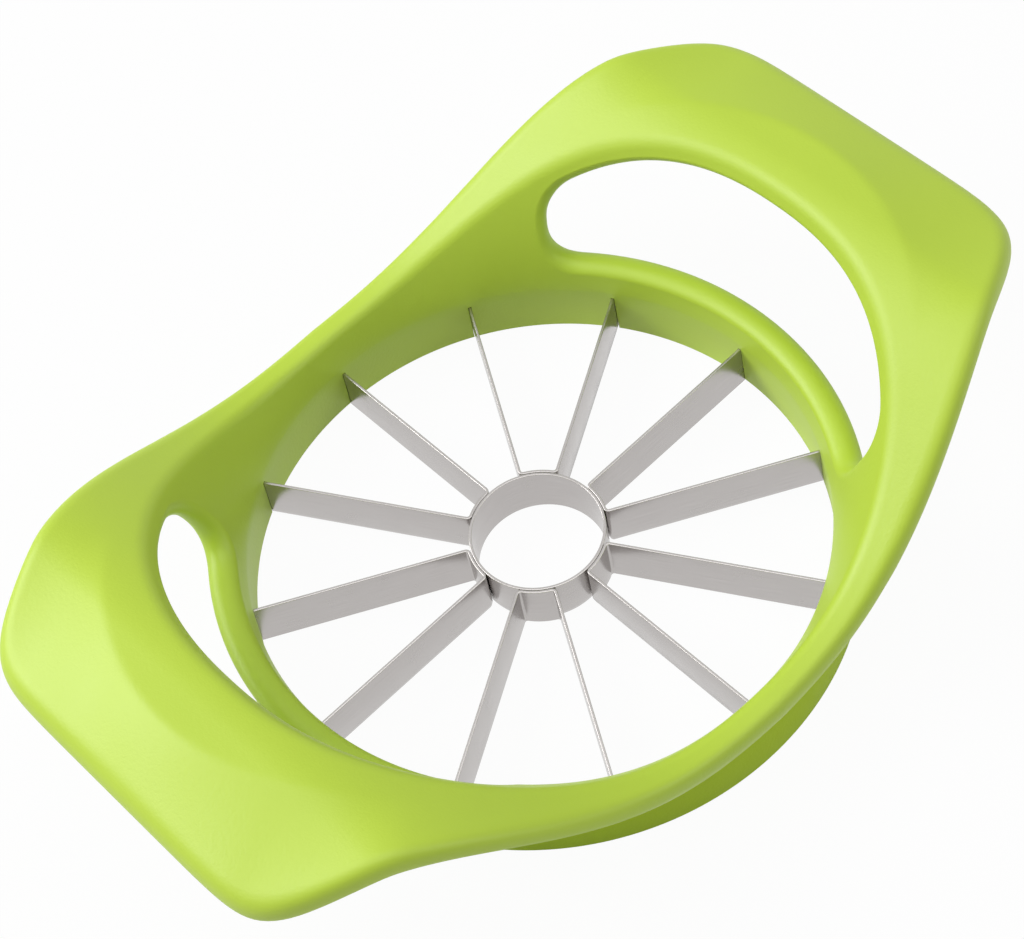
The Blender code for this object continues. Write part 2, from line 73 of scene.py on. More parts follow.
def linear(colour: str) -> tuple:
    """Linear red, green, blue and an opaque alpha of an sRGB colour, given as a mark and six hex digits."""
    parts = (int(colour[i:i + 2], 16) / 255.0 for i in (1, 3, 5))
    return *(p / 12.92 if p <= 0.04045 else ((p + 0.055) / 1.055) ** 2.4 for p in parts), 1.0


def fill(tree: NodeTree, node: Node, inputs: dict) -> None:
    """Set inputs of a node.

    Args:
        tree: the node tree.
        node: the node.
        inputs: for each input, by name or number, a value or the output that feeds it.
    """
    for name, value in inputs.items():
        if isinstance(value, NodeSocket):
            tree.links.new(value, node.inputs[name])
        else:
            node.inputs[name].default_value = value


def add_node(tree: NodeTree, kind: str, inputs: dict | None = None, **settings) -> Node:
    """Add a node, set its attributes and fill its inputs.

    Args:
        tree: the node tree.
        kind: the node's type.
        inputs: what goes into its inputs, as in fill.
        **settings: attributes of the node.

    Returns:
        The new node.
    """
    node = tree.nodes.new(kind)
    for name, value in settings.items():
        setattr(node, name, value)
    fill(tree, node, inputs or {})
    return node


def new_material(name: str) -> tuple[Material, NodeTree]:
    """New material and its node tree."""
    material = bpy.data.materials.new(name)
    material.use_nodes = True
    return material, material.node_tree


def link(name: str, data: ID) -> Object:
    """New object of the scene."""
    obj = bpy.data.objects.new(name, data)
    bpy.context.scene.collection.objects.link(obj)
    return obj


def mix(start: np.ndarray, end: np.ndarray, share: np.ndarray) -> np.ndarray:
    """Go from start to end by a share."""
    return start + (end - start) * share


def rounded(start: np.ndarray, corner: np.ndarray, end: np.ndarray, share: np.ndarray) -> np.ndarray:
    """Parabola that rounds a corner: (1 - s)² start + 2 s (1 - s) corner + s² end."""
    left = 1.0 - share
    return left * left * start + 2.0 * left * share * corner + share * share * end


def ease(share: np.ndarray) -> np.ndarray:
    """Smooth step from 0 to 1: 3 s² - 2 s³."""
    share = np.clip(share, 0.0, 1.0)
    return share * share * (3.0 - 2.0 * share)


def soft_ramp(value: np.ndarray, softness: np.ndarray) -> np.ndarray:
    """Ramp that is 0 below 0 and the value itself above, joined by a parabola within the softness of 0."""
    blend = (value + softness) ** 2 / (4.0 * softness)
    return np.where(value <= -softness, 0.0, np.where(value >= softness, value, blend))


def soft_ellipse(half_length: float, half_width: float, squareness: float, angle: np.ndarray) -> np.ndarray:
    """Distance from the centre to an ellipse that a squareness above 2 fills out towards its box.

    |cos| / a and |sin| / b to the power n, summed, to the power -1/n.

    Args:
        half_length: half axis a, along X.
        half_width: half axis b, along Y.
        squareness: the power n.
        angle: angles from +X.

    Returns:
        A distance for each angle.
    """
    along = np.abs(np.cos(angle)) / half_length
    across = np.abs(np.sin(angle)) / half_width
    return (along ** squareness + across ** squareness) ** (-1.0 / squareness)


def polar(radius: np.ndarray, angle: np.ndarray, height: np.ndarray) -> np.ndarray:
    """Grid of points (rows, columns, 3) from distances from the Z axis, angles from +X and heights."""
    radius, angle, height = np.broadcast_arrays(radius, angle, height)
    return np.stack([radius * np.cos(angle), radius * np.sin(angle), height], axis=-1)


def column(values: list) -> np.ndarray:
    """Values as a column, to run down a grid's rows."""
    return np.asarray(values, dtype=float)[:, None]


def shares(steps: int, skip_first: bool = False) -> np.ndarray:
    """Column of even shares from 0 to 1, with or without the 0."""
    return column(np.linspace(0.0, 1.0, steps + 1)[int(skip_first):])


def arc(centre: np.ndarray, radius: float, start: float, end: float, steps: int) -> tuple:
    """Points of an arc in a plane, and the normals that point away from its centre.

    Args:
        centre: centre of the arc.
        radius: its radius.
        start: first angle.
        end: last angle.
        steps: number of chords.

    Returns:
        Points and normals, each of shape (steps + 1, 2).
    """
    angles = np.linspace(start, end, steps + 1)
    normals = np.stack([np.cos(angles), np.sin(angles)], axis=1)
    return np.asarray(centre) + radius * normals, normals


def rolled_top(start: float, end: float, top: float, radius: float, steps: int = 3) -> np.ndarray:
    """Upper edge of a section, with a quarter round at each corner.

    Args:
        start: where the section starts across.
        end: where it ends.
        top: its height.
        radius: radius of the corners.
        steps: chords of a corner.

    Returns:
        Points from start to end.
    """
    low = top - radius
    return np.concatenate([arc((start + radius, low), radius, math.pi, QUARTER_TURN, steps)[0],
                           arc((end - radius, low), radius, QUARTER_TURN, 0.0, steps)[0]])


def grid_faces(rows: int, columns: int, start: int = 0, wrap_rows: bool = False,
               wrap_columns: bool = False) -> np.ndarray:
    """Quads of a grid of points.

    Args:
        rows: number of rows.
        columns: number of points in a row.
        start: number of the grid's first point.
        wrap_rows: whether the last row joins the first.
        wrap_columns: whether each row is a ring.

    Returns:
        Point numbers of shape (faces, 4).
    """
    row = np.arange(rows if wrap_rows else rows - 1)[:, None]
    col = np.arange(columns if wrap_columns else columns - 1)[None, :]
    next_row = (row + 1) % rows
    next_col = (col + 1) % columns
    near, far = row * columns, next_row * columns
    quads = np.broadcast_arrays(near + col, near + next_col, far + next_col, far + col)
    return start + np.stack(quads, axis=-1).reshape(-1, 4)


def mesh_from(name: str, points: np.ndarray, faces: list) -> Mesh:
    """Make a mesh of points and faces.

    Args:
        name: name of the mesh.
        points: points of shape (n, 3).
        faces: lists of point numbers.

    Returns:
        The mesh.
    """
    mesh = bpy.data.meshes.new(name)
    mesh.from_pydata(points.tolist(), [], faces)
    mesh.validate()
    return mesh


def shade(mesh: Mesh, sharp_angle: float = math.radians(38.0)) -> None:
    """Shade a mesh smooth apart from the edges where two faces meet at the sharp angle or more."""
    mesh.shade_smooth()
    mesh.set_sharp_from_angle(angle=sharp_angle)


def place(name: str, mesh: Mesh, node: str, material: Material) -> None:
    """Put a finished mesh into the scene in place of a node of the frame.

    Args:
        name: name of the piece.
        mesh: its mesh, in the frame's own place.
        node: the node that it stands for.
        material: its finish.
    """
    piece = link(name, mesh)
    mesh.materials.append(material)
    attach(piece, BODY)
    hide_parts(node)
    log.info("%s: %d faces for %s", name, len(mesh.polygons), node)


def noise(tree: NodeTree, vector: NodeSocket, width: float, **inputs: float) -> NodeSocket:
    """Value between 0 and 1 that drifts over a width."""
    inputs |= {"Vector": vector, "Scale": 1.0 / width}
    return add_node(tree, "ShaderNodeTexNoise", inputs).outputs["Fac"]


@dataclass(frozen=True)
class Finish:
    """What every finish has: its name, two colours, and a gloss that drifts about a middle."""

    name: str
    colour: str
    drift_colour: str
    roughness: float
    roughness_drift: float

    def dress(self, tree: NodeTree, tone_share: NodeSocket, gloss_share: NodeSocket, bump: Node,
              inputs: dict) -> None:
        """Feed colour, gloss, normal and some plain values to the shader.

        Args:
            tree: the material's nodes.
            tone_share: share of the first colour over the second.
            gloss_share: how far the roughness lies between its least and its most.
            bump: the node that bends the normal.
            inputs: the plain values.
        """
        tone = add_node(tree, "ShaderNodeMix", {
            0: tone_share, MIX_A: linear(self.drift_colour), MIX_B: linear(self.colour)}, data_type="RGBA")
        gloss = add_node(tree, "ShaderNodeMapRange", {
            "Value": gloss_share, "To Min": self.roughness - self.roughness_drift,
            "To Max": self.roughness + self.roughness_drift})
        fill(tree, tree.nodes["Principled BSDF"], {
            "Base Color": tone.outputs[MIX_RESULT], "Roughness": gloss.outputs["Result"],
            "Normal": bump.outputs["Normal"], **inputs})


@dataclass(frozen=True)
class MouldedAbs(Finish):
    """ABS, injection moulded in a finely spark-eroded tool.

    It gives the eye a satin lime skin: a soft broad gloss, a grain as fine as paper, and a hue that drifts
    very slightly where the melt flowed.
    """

    name: str = "moulded_abs_lime"
    colour: str = "#C0DC40"
    drift_colour: str = "#BBD83A"
    roughness: float = 0.46
    roughness_drift: float = 0.06
    ior: float = 1.53
    specular: float = 0.6
    flow_width: float = 16.0 * MM
    flow_detail: float = 3.0
    grain_width: float = 0.60 * MM
    grain_depth: float = 0.035 * MM
    grain_harshness: float = 0.6
    ripple_width: float = 7.0 * MM
    ripple_depth: float = 0.010 * MM
    ripple_detail: float = 1.0

    def material(self) -> Material:
        """Build the finish: the flow of the melt, and spark-eroded grain over a faint ripple of the wall.

        Returns:
            The material.
        """
        material, tree = new_material(self.name)
        place_on = add_node(tree, "ShaderNodeTexCoord").outputs["Object"]
        flow = noise(tree, place_on, self.flow_width, Detail=self.flow_detail)
        ripple = noise(tree, place_on, self.ripple_width, Detail=self.ripple_detail)
        grain = noise(tree, place_on, self.grain_width, Roughness=self.grain_harshness)
        waved = add_node(tree, "ShaderNodeBump", {"Height": ripple, "Distance": self.ripple_depth})
        grained = add_node(tree, "ShaderNodeBump", {
            "Height": grain, "Distance": self.grain_depth, "Normal": waved.outputs["Normal"]})
        self.dress(tree, flow, flow, grained, {"IOR": self.ior, "Specular IOR Level": self.specular})
        return material


@dataclass(frozen=True)
class BrushedStainless(Finish):
    """Stainless strip, cold rolled and brushed along its length.

    It gives the eye a grey satin sheet with lines finer than a hair that all run along the strip, and a soft
    mirror of the lime wall where a blade enters it. The lines are a little coarser than the real ones, so
    that they show.
    """

    name: str = "brushed_stainless"
    colour: str = "#C2BEBC"
    drift_colour: str = "#AEAAA8"
    roughness: float = 0.24
    roughness_drift: float = 0.10
    line_width: float = 0.18 * MM
    line_length: float = 9.0 * MM
    line_depth: float = 0.0012 * MM
    line_detail: float = 4.0
    line_harshness: float = 0.6
    cloud_width: float = 5.0 * MM

    def material(self) -> Material:
        """Build the finish on the strip's own UV map, whose two axes are metres along and across it.

        Returns:
            The material.
        """
        material, tree = new_material(self.name)
        along = add_node(tree, "ShaderNodeTexCoord").outputs["UV"]
        stretch = (1.0 / self.line_length, 1.0 / self.line_width, 1.0)
        stretched = add_node(tree, "ShaderNodeMapping", {"Vector": along, "Scale": stretch})
        lines = noise(tree, stretched.outputs["Vector"], 1.0, Detail=self.line_detail,
                      Roughness=self.line_harshness)
        clouds = noise(tree, along, self.cloud_width)
        brushed = add_node(tree, "ShaderNodeBump", {"Height": lines, "Distance": self.line_depth})
        self.dress(tree, lines, clouds, brushed, {"Metallic": 1.0})
        return material


@dataclass
class BladePlan:
    """Sizes that the blades share with what carries them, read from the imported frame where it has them."""

    strip_count: int = 6
    strip_thickness: float = 0.5 * MM
    fit_gap: float = 0.3 * MM
    ground_depth: float = 1.1 * MM
    cutting_edge: float = 0.2 * MM
    rolled_edge: float = 0.09 * MM
    clamp_foot: float = 1.4 * MM
    core_wall: float = 0.5 * MM
    bore_radius: float = 50.0 * MM
    bore_wall: float = 2.3 * MM
    core_radius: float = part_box("core_ring")[1].x
    blade_lift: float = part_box("core_ring")[0].z
    blade_top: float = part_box("core_ring")[1].z
    skirt_inset: float = 0.5 * MM
    skirt_radius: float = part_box("blade_clamp_ring")[1].x - skirt_inset

    @property
    def channel_radius(self) -> float:
        """Outer face of the bore wall, where the tails lie."""
        return self.bore_radius + self.bore_wall

    @property
    def arm_angle(self) -> float:
        """Angle of an arm from the middle line of its pair."""
        return math.pi / (2 * self.strip_count)


@dataclass(frozen=True)
class RailSize:
    """A size that is less where it would pass its share of a narrow rail's width."""

    full: float
    share: float

    def at(self, width: np.ndarray) -> np.ndarray:
        """The size on rails of these widths."""
        return np.minimum(self.full, self.share * width)


@dataclass
class Stations:
    """Angles of the frame's sections over one quarter.

    near holds those of the bore and the finger opening, far those of the rim and the pocket, pocket is 0 on
    a rib and 1 beside it, and window is the number of the opening's last section.
    """

    near: np.ndarray
    far: np.ndarray
    pocket: np.ndarray
    window: int


@dataclass
class MouldedFrame:
    """One moulded body: bore wall, bridge bands, rails and two raised grips, hollow and ribbed below.

    Its sections are worked out over one quarter, from the middle of a grip (angle 0) to the waist (a quarter
    turn), and the other quarters are mirror images.
    """

    plan: BladePlan
    node: str = "handle_frame"

    # Bore and channel
    bore_draft: float = 0.4 * MM
    bore_lead_in: float = 0.5 * MM
    bore_over_blades: float = 1.2 * MM
    slot_gap: float = 0.08 * MM
    channel_headroom: float = 2.5 * MM

    # Plan of the rim and of the outline
    half_length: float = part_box("handle_frame")[1].x
    half_width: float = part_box("handle_frame")[1].y
    waist_rail_width: float = 4.9 * MM
    grip_width: float = 23.2 * MM
    flank_standoff: float = 17.4 * MM
    flank_angle: float = math.radians(64.2)
    flank_softness: float = 10.7
    corner_softness: float = 21.0
    rim_squareness: float = 2.3

    # Heights of the top face
    grip_height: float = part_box("handle_frame")[1].z
    waist_rail_depth: float = 5.5 * MM
    grip_rise_length: float = 67.7 * MM
    grip_rise_power: float = 1.36
    end_fall: float = 4.7 * MM
    end_fall_full_angle: float = math.radians(18.0)
    end_fall_free_angle: float = math.radians(34.0)
    waist_crease_lean: float = 4.6 * MM
    grip_crease_lean: float = 23.5 * MM
    crease_squareness: float = 2.0
    crease_softness: float = 0.8 * MM

    # Section of rails and grips
    skin: float = 2.4 * MM
    lip_width: RailSize = RailSize(2.4 * MM, 0.30)
    edge_depth: float = 4.1 * MM
    rim_depth: float = 2.6 * MM
    inner_rounding: RailSize = RailSize(1.5 * MM, 0.34)
    inner_drop: RailSize = RailSize(1.3 * MM, 0.34)
    outer_rounding: RailSize = RailSize(3.2 * MM, 0.41)
    outer_drop: RailSize = RailSize(3.4 * MM, 0.54)
    side_draft: float = 0.15 * MM
    side_edge: float = 0.4 * MM
    pocket_narrowest: float = 5.5 * MM
    pocket_full_width: float = 11.0 * MM
    wall_lean_power: float = 1.36

    # Ribs
    rib_thickness: float = 1.6 * MM
    rib_draft: float = 0.3 * MM
    rib_angles: tuple = tuple(math.radians(a) for a in (13.0, 26.0, 37.0))

    # Finger opening
    opening_half_angle: float = math.radians(42.4)
    opening_end_lift: float = 8.4 * MM
    opening_floor_reach: float = 8.5 * MM
    opening_ceiling_reach: float = 6.0 * MM
    opening_squareness: float = 2.6
    opening_edge_radius: float = 2.0 * MM
    band_edge: float = 2.1 * MM
    band_crown: float = 1.8 * MM
    band_overhang: float = 0.2 * MM
    rim_crown: float = 1.7 * MM

    # Plain slope that the pocket and the outer wall close up to, as shares of the way down
    slope_start_share: float = 0.05
    slope_middle_share: float = 0.55

    # Fineness of the grid
    bay_steps: tuple = (12, 16, 14, 14)
    rail_steps: int = 40
    bore_steps: int = 6
    lean_steps: int = 12
    outer_steps: int = 10
    rise_steps: int = 8
    rounding_steps: int = 9
    top_steps: int = 34
    side_steps: int = 2
    lip_steps: int = 5
    roof_steps: int = 14
    inner_wall_steps: int = 4
    arch_steps: int = 18
    weld: float = 0.002 * MM

    @property
    def side_distance(self) -> float:
        """Distance of the plane behind each long side, which the soft outline stays a little inside of."""
        flank = math.sin(self.flank_angle) / (self.plan.bore_radius + self.flank_standoff)
        soft = self.flank_softness
        return (self.half_width ** -soft - flank ** soft) ** (-1.0 / soft)

    @property
    def bore_edge_height(self) -> float:
        """Height at which the wall starts to lean out."""
        return self.plan.blade_top + self.bore_over_blades

    @property
    def channel_ceiling(self) -> float:
        """Height of the blade channel's ceiling."""
        return self.plan.blade_top + self.channel_headroom

    @property
    def waist_height(self) -> float:
        """Height of the rails at the waist."""
        return self.channel_ceiling + self.waist_rail_depth

    @property
    def band_edge_height(self) -> float:
        """Height of the bridge band's edges."""
        return self.channel_ceiling + self.band_edge

    def rim_radius(self, angle: np.ndarray) -> np.ndarray:
        """Distance to the inner edge of rails and grips."""
        return soft_ellipse(self.half_length - self.grip_width, self.side_distance - self.waist_rail_width,
                            self.rim_squareness, angle)

    def outline_radius(self, angle: np.ndarray) -> np.ndarray:
        """Distance to the outline.

        A hexagon: the power mean of three planes (flank, side and end), whose powers soften the corners.
        """
        along = np.abs(np.cos(angle))
        across = np.abs(np.sin(angle))
        flank = along * math.cos(self.flank_angle) + across * math.sin(self.flank_angle)
        flank = flank / (self.plan.bore_radius + self.flank_standoff)
        soft = self.flank_softness
        side = (flank ** soft + (across / self.side_distance) ** soft) ** (1.0 / soft)
        soft = self.corner_softness
        return ((along / self.half_length) ** soft + side ** soft) ** (-1.0 / soft)

    def crease_radius(self, angle: np.ndarray) -> np.ndarray:
        """Distance to the soft crease between the rim and the outline."""
        bore = self.plan.bore_radius
        return soft_ellipse(bore + self.grip_crease_lean, bore + self.waist_crease_lean,
                            self.crease_squareness, angle)

    def top_height(self, radius: np.ndarray, angle: np.ndarray) -> np.ndarray:
        """Height of the top face.

        It rises from the waist to the grips by a smooth step along X, and past the crease of a grip it falls
        towards the end by a soft ramp.
        """
        along = np.abs(radius * np.cos(angle))
        rise = ease(np.clip(along / self.grip_rise_length, 0.0, 1.0) ** self.grip_rise_power)
        crease = self.crease_radius(angle)
        width = self.outline_radius(angle) - crease
        past = soft_ramp((radius - crease) / width, self.crease_softness / width)
        fade = (self.end_fall_free_angle - angle) / (self.end_fall_free_angle - self.end_fall_full_angle)
        return mix(self.waist_height, self.grip_height, rise) - self.end_fall * past * ease(fade)

    def flange_width(self, angle: np.ndarray) -> np.ndarray:
        """Width of the rail or grip between its inner edge and the outline."""
        return self.outline_radius(angle) - self.rim_radius(angle)

    def wall_inner_radius(self, height: np.ndarray, angle: np.ndarray) -> np.ndarray:
        """Inner face of the wall, which leans out from the bore to the rim with a power of the height."""
        rim = self.rim_radius(angle)
        top = self.top_height(rim, angle)
        share = np.clip((height - self.bore_edge_height) / (top - self.bore_edge_height), 0.0, 1.0)
        return mix(self.plan.bore_radius, rim, share ** self.wall_lean_power)

    def wall_outer_radius(self, height: np.ndarray, angle: np.ndarray) -> np.ndarray:
        """Outer face of the wall, straight from the skirt to the inner lip of the pocket."""
        rim = self.rim_radius(angle)
        top = self.top_height(rim, angle) - self.skin
        share = np.clip((height - self.channel_ceiling) / (top - self.channel_ceiling), 0.0, 1.0)
        return mix(self.plan.skirt_radius, rim + self.lip_width.at(self.flange_width(angle)), share)

    def stations(self) -> Stations:
        """Choose the sections: close together at the ends of the opening and on each side of a rib.

        Returns:
            The sections of one quarter.
        """
        crease = float(self.crease_radius(np.array(0.0)))
        half_rib = self.rib_thickness / 2.0 / crease
        slope = self.rib_draft / crease
        ends = [rib - half_rib - slope for rib in self.rib_angles] + [self.opening_half_angle]
        angles, beside = [], []
        for rib, end, steps in zip((0.0, *self.rib_angles), ends, self.bay_steps):
            angles += [[max(rib - half_rib, 0.0), rib + half_rib],
                       np.linspace(rib + half_rib + slope, end, steps + 1)]
            beside += [np.zeros(2), np.ones(steps + 1)]
        bay = np.concatenate(angles)
        window = len(bay) - 1
        turn = np.sin(np.linspace(0.0, QUARTER_TURN, window + 1))
        opening_end = self.opening_half_angle + self.edge_angle
        near_rail = np.linspace(opening_end, QUARTER_TURN, self.rail_steps + 1)[1:]
        far_rail = np.linspace(bay[-1], QUARTER_TURN, self.rail_steps + 1)[1:]
        pocket = np.concatenate([*beside, np.ones(self.rail_steps)])
        return Stations(np.concatenate([opening_end * turn, near_rail]), np.concatenate([bay, far_rail]),
                        pocket, window)

    @property
    def edge_angle(self) -> float:
        """Angle that the rounding of the opening's ends takes up."""
        return self.opening_edge_radius / float(self.rim_radius(np.array(self.opening_half_angle)))

    def parted(self, stations: Stations, reach: float) -> np.ndarray:
        """How far the opening has parted from its closing line.

        A quarter of a superellipse: (1 - (1 - t)^n)^(1/n), where t is the distance from the opening's end
        over the reach. It is 1 past the reach and 0 along the rails.

        Args:
            stations: the sections.
            reach: length over which the opening parts.

        Returns:
            A share for each section.
        """
        end = stations.near[stations.window]
        distance = (end - stations.near) * float(self.rim_radius(np.array(end)))
        left = 1.0 - np.clip(distance / reach, 0.0, 1.0)
        return np.clip(1.0 - left ** self.opening_squareness, 0.0, 1.0) ** (1.0 / self.opening_squareness)

    def skins(self) -> list[np.ndarray]:
        """Work out the skins of one quarter, which join edge to edge.

        Returns:
            Grids for the bore, the band's crest, the outer wall, the upper skin and the opening's ceiling.
        """
        st = self.stations()
        near, far, window = st.near, st.far, st.window
        low_apart = self.parted(st, self.opening_floor_reach)
        high_apart = self.parted(st, self.opening_ceiling_reach)
        near_width, far_width = self.flange_width(near), self.flange_width(far)
        near_round = self.inner_rounding.at(near_width)
        rim = self.rim_radius(near)
        rim_top = self.top_height(rim, near)
        wall_top = rim_top - self.inner_drop.at(near_width)

        # Closing line of the opening and its continuation along the rails
        rail_share = ease((near - near[window]) / (QUARTER_TURN - near[window]))
        waist_middle = (self.channel_ceiling + wall_top[-1]) / 2.0
        middle = mix(self.band_edge_height + self.opening_end_lift, waist_middle, rail_share)
        floor_height = mix(middle, self.band_edge_height, low_apart)
        ceiling_height = mix(middle, rim_top - self.rim_depth, high_apart)

        # Bore: under the wall's foot, up its inner face and up the leaning wall to the opening's floor
        plan = self.plan
        bore_foot = plan.bore_radius + self.bore_draft
        straight = shares(self.bore_steps)
        leaning = mix(self.bore_edge_height, floor_height, shares(self.lean_steps, skip_first=True))
        bore = np.concatenate([
            polar(column([plan.channel_radius, bore_foot + self.bore_lead_in]), near, 0.0),
            polar(mix(bore_foot, plan.bore_radius, straight), near,
                  mix(self.bore_lead_in, self.bore_edge_height, straight)),
            polar(self.wall_inner_radius(leaning, near), near, leaning)])

        # Outer wall: from the floor's outer edge down to the channel, its ceiling and its inner face
        down = shares(self.outer_steps)
        falling = mix(floor_height, self.channel_ceiling, down)
        bulge = self.band_overhang * low_apart * np.cos(down * QUARTER_TURN)
        outer_radius = self.wall_outer_radius(falling, near) + bulge
        outer = self.closed_up(near, outer_radius, falling, mix(self.slope_middle_share, 1.0, down))
        channel = polar(plan.channel_radius, near, mix(self.channel_ceiling, 0.0, straight))
        outer = np.concatenate([outer, channel])

        # Upper skin: leaning wall, rounded rim, top face, rounded edge, side and lip
        rising = mix(ceiling_height, wall_top, shares(self.rise_steps))
        wall = polar(self.wall_inner_radius(rising, near), near, rising)
        bend = shares(self.rounding_steps, skip_first=True)
        wall_end = self.wall_inner_radius(wall_top, near)
        top_in = self.top_height(rim + near_round, near)
        rim_edge = polar(rounded(wall_end, rim, rim + near_round, bend), near,
                         rounded(wall_top, rim_top, top_in, bend))
        across = shares(self.top_steps, skip_first=True)
        turned = mix(near, far, ease(across))
        width = self.flange_width(turned)
        shoulder = self.outline_radius(turned) - self.outer_rounding.at(width)
        start = self.rim_radius(turned) + self.inner_rounding.at(width)
        top_radius = mix(start, shoulder, across)
        top = polar(top_radius, turned, self.top_height(top_radius, turned))
        edge = self.outline_radius(far)
        edge_top = self.top_height(edge, far)
        side_bottom = edge_top - self.edge_depth
        side_top = edge_top - self.outer_drop.at(far_width)
        rounding = polar(rounded(shoulder[-1], edge, edge, bend), far,
                         rounded(self.top_height(shoulder[-1], far), edge_top, side_top, bend))
        down = shares(self.side_steps, skip_first=True)
        side = polar(edge - self.side_draft * down, far, mix(side_top, side_bottom + self.side_edge, down))
        foot = edge - self.side_draft - self.side_edge
        side_foot = polar(foot, far, side_bottom)[None]

        # Pocket: lip, outer wall, roof under the top skin and the inner lip's wall
        lip = self.lip_width.at(far_width)
        lip_in = edge - lip
        inner_lip = self.rim_radius(far) + lip
        lip_foot = self.top_height(self.rim_radius(far), far) - self.rim_depth
        up = shares(self.lip_steps)
        across = shares(self.roof_steps, skip_first=True)
        pocket_radius = np.concatenate([lip_in - self.side_draft * up,
                                        mix(lip_in - self.side_draft, inner_lip, across)])
        roof = self.top_height(pocket_radius, far) - self.skin
        rib_line = mix(side_bottom, lip_foot, np.clip((edge - pocket_radius) / (edge - inner_lip), 0.0, 1.0))
        open_height = np.concatenate([mix(side_bottom, roof[len(up) - 1], up), roof[len(up):]])
        pocket_height = mix(rib_line, open_height, st.pocket)
        progress = column(np.linspace(self.slope_start_share, self.slope_middle_share, len(pocket_radius)))
        pocket = self.closed_up(far, pocket_radius, pocket_height, progress)
        ceiling_out = polar(self.wall_outer_radius(ceiling_height, near), near, ceiling_height)
        ceiling_out[window:] = outer[0][window:]
        inner_wall = mix(pocket[-1], ceiling_out, shares(self.inner_wall_steps, skip_first=True)[:, :, None])
        upper = np.concatenate([wall, rim_edge, top, rounding, side, side_foot, pocket, inner_wall])

        # Crest of the band and ceiling of the opening: half ellipses across the wall, with rounded ends
        swing = shares(self.arch_steps) * math.pi
        reach = (1.0 - np.cos(swing)) / 2.0
        crown = np.sin(swing)
        turn = near[:window + 1] / near[window]
        angle = (self.opening_half_angle + self.edge_angle * (1.0 - crown)) * turn
        band_rise = self.band_crown * crown * low_apart[:window + 1]
        rim_drop = self.rim_crown * crown * high_apart[:window + 1]
        crest = self.arched(bore[-1], outer[0], reach, angle, band_rise)
        ceiling = self.arched(upper[0], ceiling_out, reach, angle, -rim_drop)
        return [bore, crest, outer, upper, ceiling[::-1]]

    def closed_up(self, angle: np.ndarray, radius: np.ndarray, height: np.ndarray,
                  progress: np.ndarray) -> np.ndarray:
        """Close the pocket and the outer wall up to one plain slope where the rail is narrow.

        Args:
            angle: the sections' angles here.
            radius: distances of the open form.
            height: heights of the open form.
            progress: how far down the plain slope each row lies.

        Returns:
            Points that go from the open form on the grips to the plain slope at the waist.
        """
        width = self.flange_width(angle)
        opened = ease((width - self.pocket_narrowest) / (self.pocket_full_width - self.pocket_narrowest))
        edge = self.outline_radius(angle)
        bottom = self.top_height(edge, angle) - self.edge_depth
        plain_radius = mix(edge - self.side_draft - self.side_edge, self.plan.skirt_radius, progress)
        plain_height = mix(bottom, self.channel_ceiling, progress)
        return polar(mix(plain_radius, radius, opened), angle, mix(plain_height, height, opened))

    def arched(self, start: np.ndarray, end: np.ndarray, reach: np.ndarray, angle: np.ndarray,
               lift: np.ndarray) -> np.ndarray:
        """Arch across the wall between two of its edges, over the sections of the opening.

        Args:
            start: points of the first edge.
            end: points of the other edge.
            reach: how far across each row lies.
            angle: angle of each point.
            lift: height above the straight line between the edges.

        Returns:
            The grid of points.
        """
        count = angle.shape[-1]
        start, end = start[:count], end[:count]
        radius = mix(np.hypot(start[:, 0], start[:, 1]), np.hypot(end[:, 0], end[:, 1]), reach)
        grid = polar(radius, angle, mix(start[:, 2], end[:, 2], reach) + lift)
        grid[0] = start
        grid[-1] = end
        return grid

    def quarter_points(self) -> tuple[np.ndarray, np.ndarray]:
        """Points and quads of one quarter."""
        points, faces, start = [], [], 0
        for grid in self.skins():
            points.append(grid.reshape(-1, 3))
            faces.append(grid_faces(*grid.shape[:2], start))
            start += len(points[-1])
        return np.concatenate(points), np.concatenate(faces)

    def slot_cutter(self) -> Object:
        """Twelve upright boxes that cut the blade slots into the bore wall.

        Returns:
            The cutter.
        """
        overrun = 1.0 * MM
        build = bmesh.new()
        start = self.plan.bore_radius - overrun
        end = self.plan.channel_radius + overrun
        top = self.plan.blade_top + self.slot_gap
        width = self.plan.strip_thickness + 2.0 * self.slot_gap
        size = Matrix.Diagonal((end - start, width, top + overrun, 1.0))
        middle = Matrix.Translation(((start + end) / 2.0, 0.0, (top - overrun) / 2.0))
        for index in range(2 * self.plan.strip_count):
            turn = Matrix.Rotation(index * math.pi / self.plan.strip_count, 4, "Z")
            bmesh.ops.create_cube(build, size=1.0, matrix=turn @ middle @ size)
        mesh = bpy.data.meshes.new("slot_cutter")
        build.to_mesh(mesh)
        build.free()
        return link("slot_cutter", mesh)

